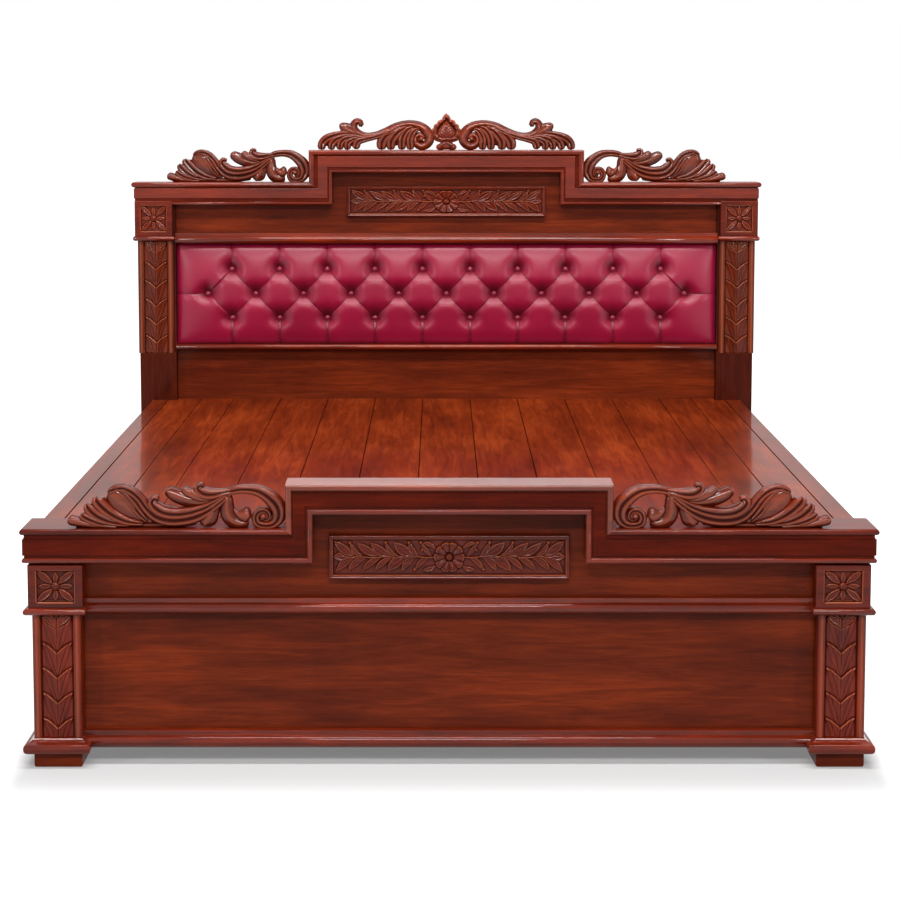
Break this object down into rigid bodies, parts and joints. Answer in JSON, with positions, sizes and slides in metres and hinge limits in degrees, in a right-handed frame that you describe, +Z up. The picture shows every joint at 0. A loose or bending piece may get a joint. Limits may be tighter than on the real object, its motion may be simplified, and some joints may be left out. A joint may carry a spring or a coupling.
{
  "type": "upholstered bed",
  "caption": "Double bed with a stepped, carved hardwood headboard and footboard, a tufted leather headboard pad and a flat boarded deck.",
  "frame": {"origin": "floor level, in the middle of the box that holds the whole bed", "axes": "+X across the bed to the right of someone who stands at the footboard and looks at the headboard, +Y from the footboard to the headboard, +Z up"},
  "size_m": [2.074, 2.19, 1.532],
  "materials": {
    "lacquered_wood": "glossy reddish mahogany lacquer",
    "carved_wood": "glossy mahogany lacquer, darker in the cuts",
    "deck_wood": "glossy orange-red lacquer",
    "inner_wood": "satin stained hardwood",
    "leather_pad": "smooth crimson leather",
    "leather_buttons": "smooth crimson leather",
    "zinc_steel": "zinc plated",
    "glides": "matte black"
  },
  "bodies": {
    "root": {"foot_post_left": "lacquered_wood", "foot_post_right": "lacquered_wood", "foot_plinth_left": "lacquered_wood", "foot_plinth_right": "lacquered_wood", "foot_base_mouldings": "lacquered_wood", "foot_pilaster_left": "carved_wood", "foot_pilaster_right": "carved_wood", "foot_collars": "lacquered_wood", "foot_corner_block_left": "carved_wood", "foot_corner_block_right": "carved_wood", "foot_side_caps": "lacquered_wood", "foot_top_cap": "lacquered_wood", "foot_fascia": "lacquered_wood", "foot_bead": "lacquered_wood", "foot_top_frame": "lacquered_wood", "foot_frieze_panel": "lacquered_wood", "foot_tablet": "carved_wood", "foot_mid_rail": "lacquered_wood", "foot_lower_panel": "lacquered_wood", "foot_bottom_rail": "lacquered_wood", "foot_back_board": "inner_wood", "foot_centre_back": "inner_wood", "foot_scroll_left": "carved_wood", "foot_scroll_right": "carved_wood", "head_post_left": "lacquered_wood", "head_post_right": "lacquered_wood", "head_pilaster_left": "carved_wood", "head_pilaster_right": "carved_wood", "head_collars": "lacquered_wood", "head_corner_block_left": "carved_wood", "head_corner_block_right": "carved_wood", "head_side_caps": "lacquered_wood", "head_top_cap": "lacquered_wood", "head_fascia": "lacquered_wood", "head_bead": "lacquered_wood", "head_top_frame": "lacquered_wood", "head_frieze_panel": "lacquered_wood", "head_tablet": "carved_wood", "head_mid_rail": "lacquered_wood", "head_lip_rail": "lacquered_wood", "head_lower_panel": "lacquered_wood", "head_backing_board": "inner_wood", "leather_pad": "leather_pad", "leather_buttons": "leather_buttons", "head_scroll_left": "carved_wood", "head_scroll_right": "carved_wood", "crest_scroll_left": "carved_wood", "crest_scroll_right": "carved_wood", "crest_finial": "carved_wood", "side_rail_left": "lacquered_wood", "side_rail_right": "lacquered_wood", "rail_hook_plates": "zinc_steel", "post_slot_plates": "zinc_steel", "plate_screws": "zinc_steel", "ledger_cleats": "inner_wood", "deck_boards": "deck_wood", "cross_bearers": "inner_wood", "centre_beam": "inner_wood", "centre_legs": "inner_wood", "leg_glides": "glides"}
  },
  "joints": []
}
